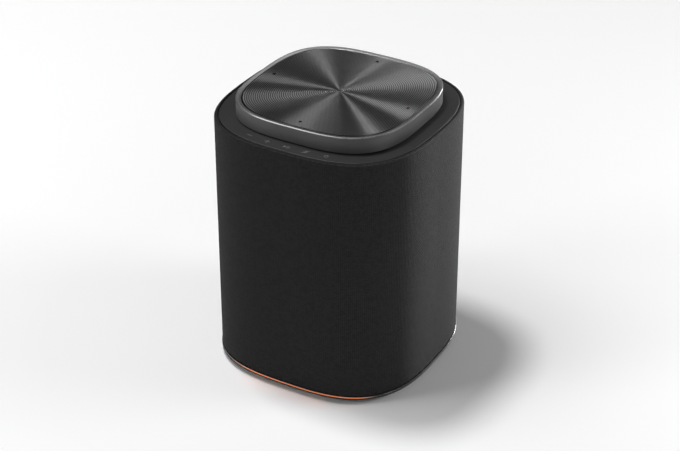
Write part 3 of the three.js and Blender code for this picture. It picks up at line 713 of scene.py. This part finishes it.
def make_sleeve():
    low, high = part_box("fabric_sleeve")
    half, bottom, top = high.x, low.z, high.z
    corners = [
        (half - HEM, bottom, 0.3 * MM),
        (half, bottom, 0.7 * MM),
        (half, top, ROLL),
        (half - HEM, top, 0.35 * MM),
        (half - HEM, top - FOLD, 0.2 * MM),
        (half - CLOTH, top - FOLD, 0.4 * MM),
        (half - CLOTH, bottom + FOLD, 0.4 * MM),
        (half - HEM, bottom + FOLD, 0.2 * MM),
    ]
    sleeve = swept("knit_sleeve", rounded(corners, 5), MATERIALS["fabric"], count=SLEEVE_AROUND)
    combine(sleeve, [inlet_hole(GAP, half - 8 * MM, half + 8 * MM)])
    sleeve.data.materials.append(SHOULDER_KNIT_PAINTED_HIGHLIGHT)
    sleeve.data.materials.append(FOLDED_KNIT_PAINTED_LIGHT)
    # upward faces on the roll take the lighter knit: painted highlight on the shoulder, painted light on
    # the flat strip
    for face in sleeve.data.polygons:
        if face.center.z > top - ROLL and face.normal.z > SHOULDER_NORMAL:
            face.material_index = 1 if face.normal.z < FOLDED_NORMAL else 2
    name_uvs(sleeve, BODY_EXPONENT, half)
    settle(smooth(sleeve), "housing", "fabric_sleeve")


# ------------------------------------------------------------------ deck and its marks

def make_deck():
    low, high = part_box("top_deck")
    half, top = high.x, high.z
    plate = 2.5 * MM
    opening = 46 * MM
    skirt_out, skirt_in = 68.2 * MM, 66.9 * MM
    corners = [
        (skirt_in, low.z, 0),
        (skirt_out, low.z, 0),
        (skirt_out, top - plate, 0),
        (half, top - plate, 0),
        (half, top, 0.35 * MM),
        (opening, top, 0),
        (opening, top - plate, 0),
        (skirt_in, top - plate, 0),
    ]
    settle(swept("deck_plate", rounded(corners), MATERIALS["matte_black"]), "housing", "top_deck")


MARK_RAISE = 0.04 * MM
MARK_SPACING = 13.6 * MM
MARK_SHIFT = -1.0 * MM    # of the row, from the middle of the front
MARK_CURVE = 64.0 * MM    # half-width of the superellipse the row follows
STROKE = 0.55 * MM


def bar(length, width, turn=0.0, at=(0.0, 0.0)):
    """A straight stroke with slightly round corners, turned about its middle."""
    c, s = math.cos(turn), math.sin(turn)
    flat = box_outline(length, width, 0.2 * width, steps=3)
    return [(at[0] + c * x - s * y, at[1] + s * x + c * y) for x, y in flat]


def ring_band(radius, width, start, sweep, count):
    """A band along part of a circle: there on its outer edge and back on its inner one."""
    turns = [start + sweep * k / count for k in range(count + 1)]
    outer, inner = radius + width / 2, radius - width / 2
    there = [(outer * math.cos(t), outer * math.sin(t)) for t in turns]
    back = [(inner * math.cos(t), inner * math.sin(t)) for t in reversed(turns)]
    return there + back


def mark_shapes():
    """Flat outlines of the five marks, left to right, about 4 mm across."""
    size = 3.6 * MM
    minus = [bar(size, STROKE)]
    plus = [bar(size, STROKE), bar(size, STROKE, math.pi / 2)]
    triangle = [(-1.9 * MM, -1.35 * MM), (0.25 * MM, 0.0), (-1.9 * MM, 1.35 * MM)]
    bars = [bar(2.7 * MM, STROKE, math.pi / 2, (x, 0.0)) for x in (0.85 * MM, 1.95 * MM)]
    capsule = box_outline(1.2 * MM, 2.4 * MM, 0.6 * MM, (0.0, 0.5 * MM))
    cradle = [(x, y + 0.3 * MM) for x, y in ring_band(1.25 * MM, 0.3 * MM, math.pi, math.pi, 20)]
    stem = bar(0.9 * MM, 0.3 * MM, math.pi / 2, (0.0, -1.4 * MM))
    slash = bar(5.4 * MM, 0.5 * MM, math.pi / 4)
    half_rings = [ring_band(1.15 * MM, STROKE, start, math.pi, 24) for start in (0.0, math.pi)]
    return {
        "minus": minus,
        "plus": plus,
        "play": [triangle, *bars],
        "microphone": [capsule, cradle, stem, slash],
        "ring": half_rings,
    }


def make_marks():
    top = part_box("top_deck")[1].z
    bottom = top - 0.1 * MM
    shapes = mark_shapes()
    for k, (name, outlines) in enumerate(shapes.items()):
        x = (k - (len(shapes) - 1) / 2) * MARK_SPACING + MARK_SHIFT
        y = -(MARK_CURVE ** BODY_EXPONENT - abs(x) ** BODY_EXPONENT) ** (1 / BODY_EXPONENT)
        mark, *others = [
            cutter([(x + a, y + b) for a, b in shape], bottom, top + MARK_RAISE, "z")
            for shape in outlines
        ]
        combine(mark, others, "UNION")
        mark.name = f"mark_{name}"
        mark.data.materials.append(MARK)
        settle(mark, "housing")


# ------------------------------------------------------------------ cap

RIM_CHAMFER = 0.45 * MM
RIM_LAND = 0.65 * MM      # width of the flat top between the chamfer and the bevel
RIM_WALL = 2 * MM
RIM_EASE = 0.08 * MM      # radius of the cut edges
SHELF_IN = 54 * MM        # the disc's shelf, and
SHELF_THICK = 1.4 * MM


def make_cap_rim():
    low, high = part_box("cap_rim")
    disc_low, disc_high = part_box("cap_disc")
    half, top = high.x, high.z
    inside = half - RIM_WALL
    bore = disc_high.x + GAP
    bevel_foot = disc_high.z - 0.1 * MM
    shelf_top = disc_low.z - GAP
    land = half - RIM_CHAMFER - RIM_LAND
    foot_chamfer = 0.3 * MM
    corners = [
        (inside, low.z, 0),
        (half - foot_chamfer, low.z, 0),
        (half, low.z + foot_chamfer, 0),
        (half, top - RIM_CHAMFER, RIM_EASE),
        (half - RIM_CHAMFER, top, RIM_EASE),
        (land, top, RIM_EASE),
        (bore, bevel_foot, RIM_EASE),
        (bore, shelf_top, 0),
        (SHELF_IN, shelf_top, 0),
        (SHELF_IN, shelf_top - SHELF_THICK, 0),
        (inside, shelf_top - SHELF_THICK, 0),
    ]
    rim = swept("cap_band", rounded(corners, 2), MATERIALS["dark_aluminium"], CAP_EXPONENT)
    rim.data.materials.append(POLISHED)
    for face in rim.data.polygons:
        cut_face = face.normal.z > 0.4 and face.center.z > bevel_foot - RIM_CHAMFER
        face.material_index = 1 if cut_face else 0
    return settle(smooth(rim, 20), "housing", "cap_rim")


GROOVE_DEPTH = 0.12 * MM
GROOVE_SHAPE = (0, 0.5, 1, 0.5)    # its depth at each quarter of the pitch
DISC_AROUND = 320
DISC_CHAMFER = 0.15 * MM
DISC_MARGIN = 0.5 * MM             # flat outside the last groove
MIC_HOLE = 1.15 * MM               # radius
MIC_REACH = 48.5 * MM
MIC_AT = [(MIC_REACH, 0), (0, MIC_REACH), (-MIC_REACH, 0), (0, -MIC_REACH)]


def make_cap_disc():
    """A plate with one groove inside the next, each a smaller copy of the rim's outline."""
    low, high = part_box("cap_disc")
    top, bottom, half = high.z, low.z, high.x
    offset = GROOVE_START + GROOVE_PITCH / 2
    ridges = int((half - DISC_MARGIN - offset) / GROOVE_PITCH)
    profile = [(0, bottom), (half, bottom), (half, top - DISC_CHAMFER), (half - DISC_CHAMFER, top)]
    for k in range(4 * ridges, -1, -1):
        depth = GROOVE_SHAPE[k % 4] * GROOVE_DEPTH
        profile.append((offset + k * GROOVE_PITCH / 4, top - depth))
    profile.append((0, top - 0.05 * MM))
    disc = swept("grooved_disc", profile, GROOVED, CAP_EXPONENT, DISC_AROUND)
    disc.data.shade_smooth()
    combine(disc, [cutter(circle(MIC_HOLE, at, 20), bottom - MM, top + MM, "z") for at in MIC_AT])
    # painted shade: the mic holes' walls take black plastic so the holes read dark
    disc.data.materials.append(MATERIALS["matte_black"])
    for face in disc.data.polygons:
        near = min(math.dist(at, face.center[:2]) for at in MIC_AT)
        face.material_index = 1 if near < MIC_HOLE and abs(face.normal.z) < 0.5 else 0
    return settle(smooth(disc, 60), "housing", "cap_disc")


# ------------------------------------------------------------------ mains inlet

SOCKET_LOBE, SOCKET_OFFSET, SOCKET_WAIST = 3.8 * MM, 4.2 * MM, 6 * MM
SOCKET_DEPTH = 12 * MM
RECESS_DEPTH = 0.7 * MM
PIN_SPREAD = 4.3 * MM
PIN_HOLE = 1.5 * MM    # radius


def socket_outline(at, margin=0.0, steps=24):
    """A figure of eight lying on its side, a margin larger all round: two lobes and a waist."""
    lobe, waist = SOCKET_LOBE + margin, SOCKET_WAIST + 2 * margin
    lift = math.asin(waist / 2 / lobe)
    sweep = 2 * math.pi - 2 * lift
    made = []
    for side, start in ((1, -math.pi + lift), (-1, lift)):
        x = at[0] + side * SOCKET_OFFSET
        for k in range(steps + 1):
            turn = start + sweep * k / steps
            made.append((x + lobe * math.cos(turn), at[1] + lobe * math.sin(turn)))
    return made


def make_inlet():
    low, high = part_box("inlet_bezel")
    middle = ((low.x + high.x) / 2, (low.z + high.z) / 2)
    width, height = high.x - low.x, high.z - low.z
    bezel = cutter(box_outline(width, height, INLET_CORNER, middle), low.y, high.y, "y")
    bezel.name = "inlet_surround"
    recess = cutter(socket_outline(middle, 1.5 * MM), high.y - RECESS_DEPTH, high.y + MM, "y")
    hole = cutter(socket_outline(middle, 0.4 * MM), low.y - MM, high.y + MM, "y")
    combine(bezel, [recess, hole])
    bezel.data.materials.append(MATERIALS["matte_black"])
    settle(smooth(bevelled(bezel, 0.25 * MM)), "housing", "inlet_bezel")

    low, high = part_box("power_inlet")
    body = cutter(box_outline(high.x - low.x, high.z - low.z, 1.5 * MM, middle), low.y, high.y, "y")
    body.name = "inlet_socket"
    cavity = cutter(socket_outline(middle), high.y - SOCKET_DEPTH, high.y + MM, "y")
    pin_holes = [
        cutter(circle(PIN_HOLE, (middle[0] + x, middle[1])), low.y - MM, high.y, "y")
        for x in (-PIN_SPREAD, PIN_SPREAD)
    ]
    combine(body, [cavity, *pin_holes])
    body.data.materials.append(MATERIALS["matte_black"])
    settle(smooth(body), "housing", "power_inlet")
    for side in ("left", "right"):
        make_inlet_pin(side)


def make_inlet_pin(side):
    low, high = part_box(f"inlet_pin_{side}")
    radius = (high.x - low.x) / 2
    length = high.y - low.y
    turns = np.linspace(0, math.pi / 2, 7)
    tip = [(radius * math.cos(t), length - radius + radius * math.sin(t)) for t in turns[:-1]]
    profile = [(0, 0), (radius, 0), *tip, (0, length)]
    pin = swept(f"inlet_pin_{side}_turned", profile, MATERIALS["pin_brass"], ROUND, 32)
    x, z = (low.x + high.x) / 2, (low.z + high.z) / 2
    pin.data.transform(Matrix.Translation((x, low.y, z)) @ Matrix.Rotation(-math.pi / 2, 4, "X"))
    settle(pin, "housing", f"inlet_pin_{side}")


# ------------------------------------------------------------------ soft rings inside

TO_FRONT, TO_LEFT, TO_RIGHT = (0, -1, 0), (-1, 0, 0), (1, 0, 0)


def seat_matrix(node, out):
    """Takes a turned profile's +Z to the direction out, on the enclosure's wall, level with the node."""
    low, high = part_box(node)
    middle = (low + high) / 2
    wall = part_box("enclosure_tub")[1].x
    place = Vector(out) * wall
    place.z = middle.z
    turn = Vector((0, 0, 1)).rotation_difference(Vector(out))
    return Matrix.Translation(place) @ turn.to_matrix().to_4x4()


def flexing(piece, node, out):
    """The turned piece goes to its seat and stands for the node, which is hidden."""
    matrix = seat_matrix(node, out)
    piece.data.transform(matrix)
    out = (matrix.to_3x3() @ Vector((0, 0, 1))).normalized()
    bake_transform(piece)
    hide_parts(node)


TURNED_AROUND = 96
RUBBER = 0.7 * MM      # thickness


def make_surround(node, body, out, inner_lip, roll_in, roll_out, outer_lip, z):
    """A half roll of rubber between two flat lips, z in front of the enclosure's wall."""
    centre, radius = (roll_in + roll_out) / 2, (roll_out - roll_in) / 2
    foot = math.asin(RUBBER / radius)

    def arc(reach, turns):
        return [(centre + reach * math.cos(t), z + reach * math.sin(t)) for t in turns]

    profile = [
        (outer_lip, z),
        (outer_lip, z + RUBBER),
        *arc(radius, np.linspace(foot, math.pi - foot, 15)),
        (inner_lip, z + RUBBER),
        (inner_lip, z),
        *arc(radius - RUBBER, np.linspace(math.pi, 0, 13)),
    ]
    ring = swept(f"{node}_roll", profile, MATERIALS["surround_rubber"], ROUND, TURNED_AROUND)
    flexing(ring, node, out)


SPIDER_INNER, SPIDER_OUTER = 10.2 * MM, 20.4 * MM
SPIDER_Z = -16 * MM        # behind the enclosure's wall
SPIDER_WAVES, SPIDER_WAVE = 3, 0.5 * MM
SPIDER_THICK = 0.45 * MM


def make_spider():
    """A ring of cloth with waves running round it."""
    steps = 16 * SPIDER_WAVES
    line = []
    for k in range(steps + 1):
        turn = SPIDER_WAVES * 2 * math.pi * k / steps
        radius = SPIDER_INNER + (SPIDER_OUTER - SPIDER_INNER) * k / steps
        line.append((radius, SPIDER_Z - SPIDER_WAVE * math.cos(turn)))
    profile = line + [(radius, z + SPIDER_THICK) for radius, z in reversed(line)]
    ring = swept("woofer_spider_cloth", profile, MATERIALS["spider_cloth"], ROUND, TURNED_AROUND)
    flexing(ring, "woofer_spider", TO_FRONT)


# ------------------------------------------------------------------ assembly

def finish_cad_nodes():
    """The pieces that keep their CAD shape get a material and smooth curves."""
    for name, node in frame["nodes"].items():
        node.data.materials.clear()
        node.data.materials.append(MATERIALS[SLOT_OF[name]])
        smooth(node, 30)


finish_cad_nodes()
make_foot()
make_base()
for screw_number in range(1, 5):
    make_base_screw(screw_number)
make_light_ring()
make_sleeve()
make_deck()
make_marks()
cap_rim = make_cap_rim()
cap_disc = make_cap_disc()
make_inlet()
WOOFER_RADII = (30.6 * MM, 31.9 * MM, 36.4 * MM, 37.4 * MM)    # inner lip, roll, outer lip
PASSIVE_RADII = (23 * MM, 24.6 * MM, 30.4 * MM, 34 * MM)
make_surround("woofer_surround", "woofer_moving", TO_FRONT, *WOOFER_RADII, 2.1 * MM)
for side, out in (("left", TO_LEFT), ("right", TO_RIGHT)):
    make_surround(f"passive_{side}_surround", f"passive_{side}_moving", out, *PASSIVE_RADII, 2.6 * MM)
make_spider()


# ------------------------------------------------------------------ floor and light

FLOOR_HALF = 6.0
FLOOR_COLOR = (0.94, 0.94, 0.943)
FLOOR_GLOW_FROM, FLOOR_GLOW_TO = 0.2, 0.7    # distances from the speaker that the glow grows over,
FLOOR_GLOW = 0.18                            # and its strength beyond them


def make_floor():
    """A pale floor with a painted glow that grows away from the speaker, fading it to white."""
    corners = [(x, y, 0) for x, y in four(FLOOR_HALF, FLOOR_HALF)]
    floor = object_from("floor", corners, [[0, 1, 2, 3]])
    g = Graph("floor", FLOOR_COLOR, 0.9, Specular_IOR_Level=0.1)
    length = g.node("ShaderNodeVectorMath", {"operation": "LENGTH"}, Vector=g.place())
    glow = g.span(length.outputs["Value"], FLOOR_GLOW_FROM, FLOOR_GLOW_TO, 0.0, FLOOR_GLOW)
    g.put(g.shader.inputs["Emission Color"], (1, 1, 1, 1))
    g.put(g.shader.inputs["Emission Strength"], glow)
    floor.data.materials.append(g.material)
    return floor


# Each lamp: azimuth, elevation, distance, diameter, watts.
SOFTBOXES = [
    (-94, 76, 1.6, 0.3, 11.0),
    (-62, 64, 1.6, 0.7, 6.0),
    (-45, 14, 1.6, 0.6, 8.0),
]
SIDE_LIGHTS = [
    (162, 5, 1.6, 0.4, 40.0),
    (88, 9, 1.6, 0.6, 12.5),
]
FLOOR_WASH = [
    (-94, 76, 1.6, 0.3, 3.4),
    (115, 15, 1.0, 0.5, 5.0),
]
DISC_GLINTS = [
    (175, 41, 1.5, 0.3, 3.7),
    (-166, 14, 1.5, 0.45, 2.8),
    (176, 70, 1.5, 0.2, 3.6),
    (-156, 13, 1.5, 0.2, 0.4),
    (-110, 62, 1.5, 0.2, 2.0),
    (-141, 51, 1.5, 0.2, 0.4),
    (-178, 55, 1.5, 0.4, 0.3),
    (-173, 26, 1.5, 0.4, 0.3),
    (-150, 70, 1.5, 0.4, 0.3),
]
RIM_GLINTS = [
    (162, 5, 1.6, 0.4, 12.0),
    (-55, 42, 1.5, 0.5, 1.9),
    (122, 38, 1.5, 0.5, 0.5),
    (88, 9, 1.6, 0.6, 7.0),
    (-168, 49, 1.5, 0.4, 0.7),
    (-148, 42, 1.5, 0.5, 0.5),
]


LAMPS_AIM = Vector((0, 0, 0.1))


def make_lamp(name, azimuth, elevation, distance, size, watts):
    """A round lamp that faces the speaker."""
    lamp = bpy.data.lights.new(name, "AREA")
    lamp.shape = "DISK"
    lamp.size = size
    lamp.energy = watts
    made = bpy.data.objects.new(name, lamp)
    towards = direction(azimuth, elevation)
    made.location = LAMPS_AIM + towards * distance
    made.rotation_euler = towards.to_track_quat("Z", "Y").to_euler()
    bpy.context.scene.collection.objects.link(made)
    return made


def flagged(name, pieces, state):
    """A set of pieces for a lamp: it lights only these (INCLUDE), or all but these (EXCLUDE)."""
    linked = bpy.data.collections.new(name)
    for k, piece in enumerate(pieces):
        linked.objects.link(piece)
        linked.collection_objects[k].light_linking.link_state = state
    return linked


def make_lights(floor, disc, rim):
    """Softboxes flagged off the disc, low side lights for the body alone, a wash for the floor,
    and small lamps for the glints on the disc and the rim."""
    groups = [
        (SOFTBOXES, "softbox", (disc,), "EXCLUDE"),
        (SIDE_LIGHTS, "side_light", (disc, rim, floor), "EXCLUDE"),
        (FLOOR_WASH, "floor_wash", (floor,), "INCLUDE"),
        (DISC_GLINTS, "disc_glint", (disc,), "INCLUDE"),
        (RIM_GLINTS, "rim_glint", (rim,), "INCLUDE"),
    ]
    for settings, name, pieces, state in groups:
        linked = flagged(name, pieces, state)
        for k, box in enumerate(settings):
            make_lamp(f"{name}_{k}", *box).light_linking.receiver_collection = linked


SPILL_COLOR = (1.0, 0.35, 0.15)
SPILL_LONG, SPILL_WIDE = 60 * MM, 3 * MM
SPILL_WATTS = 0.00025
SPILL_TILT = math.radians(-25)
WORLD_STRENGTH = 0.11


def make_led_spill(floor):
    """The LEDs' light on the floor under the front edge."""
    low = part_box("light_ring")[0]
    lamp = bpy.data.lights.new("led_spill", "AREA")
    lamp.shape = "RECTANGLE"
    lamp.size, lamp.size_y = SPILL_LONG, SPILL_WIDE
    lamp.energy = SPILL_WATTS
    lamp.color = SPILL_COLOR
    made = bpy.data.objects.new("led_spill", lamp)
    made.location = (0, low.y - 0.5 * MM, low.z)
    made.rotation_euler = (SPILL_TILT, 0, 0)
    made.light_linking.receiver_collection = flagged("led_spill", (floor,), "INCLUDE")
    bpy.context.scene.collection.objects.link(made)


def make_world():
    world = bpy.data.worlds.new("studio")
    world.use_nodes = True
    background = world.node_tree.nodes["Background"]
    background.inputs["Color"].default_value = (1, 1, 1, 1)
    background.inputs["Strength"].default_value = WORLD_STRENGTH
    bpy.context.scene.world = world
    bpy.context.scene.view_settings.view_transform = "Standard"


studio_floor = make_floor()
make_lights(studio_floor, cap_disc, cap_rim)
make_led_spill(studio_floor)
make_world()
